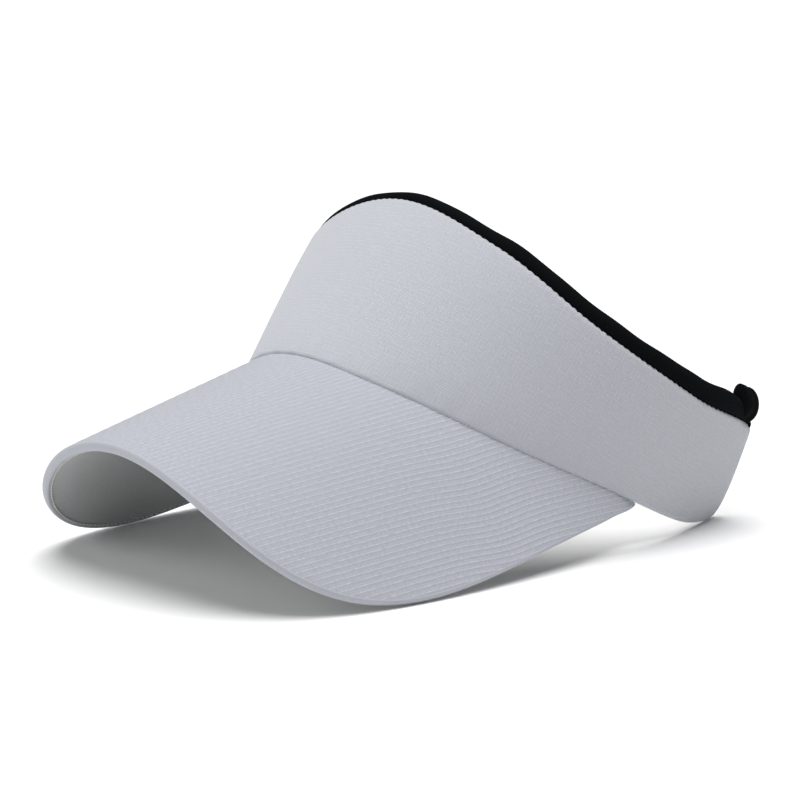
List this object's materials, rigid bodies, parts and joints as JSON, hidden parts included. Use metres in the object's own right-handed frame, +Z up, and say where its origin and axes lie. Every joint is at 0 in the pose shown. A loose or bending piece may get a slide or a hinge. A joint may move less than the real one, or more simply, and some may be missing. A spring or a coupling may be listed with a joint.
{
  "type": "sun visor",
  "caption": "Open-topped sports sun visor: long arched brim, wide crown band tapering to two tails, padded dark sweatband and an elastic across the back.",
  "frame": {"origin": "bottom centre of the bounding box, on the surface the visor stands on", "axes": "+X towards the wearer's left, +Y to the back of the head (the brim points to -Y), +Z up"},
  "size_m": [0.184, 0.2466, 0.125],
  "materials": {
    "white_fabric": "fine ribbed and checked polyester weave, matt",
    "black_knit": "soft brushed knit",
    "foam": "soft open-cell foam",
    "brim_board": "smooth stiff sheet",
    "thread": "spun sewing thread",
    "black_thread": "spun sewing thread",
    "elastic": "covered elastic webbing"
  },
  "bodies": {
    "visor": {"crown_shell": "white_fabric", "crown_padding": "foam", "crown_lining": "white_fabric", "sweatband_cover": "black_knit", "sweatband_foam": "foam", "crown_top_stitching": "thread", "sweatband_lower_stitching": "black_thread", "brim_root_stitching": "thread", "brim_board": "brim_board", "brim_top_cover": "white_fabric", "brim_under_cover": "white_fabric", "brim_edge_binding": "white_fabric", "brim_edge_needle_thread": "thread", "brim_edge_bobbin_thread": "thread", "left_elastic_end": "black_knit", "right_elastic_end": "black_knit", "left_end_bartack": "black_thread", "right_end_bartack": "black_thread"},
    "elastic_span": {"elastic_casing": "black_knit", "elastic_webbing": "elastic"}
  },
  "joints": [
    {"name": "back_elastic_stretch", "type": "slide", "parent": "visor", "child": "elastic_span", "axis": [0, 1, 0], "range_m": [0, 0.02], "stiffness_N_per_m": 120}
  ]
}
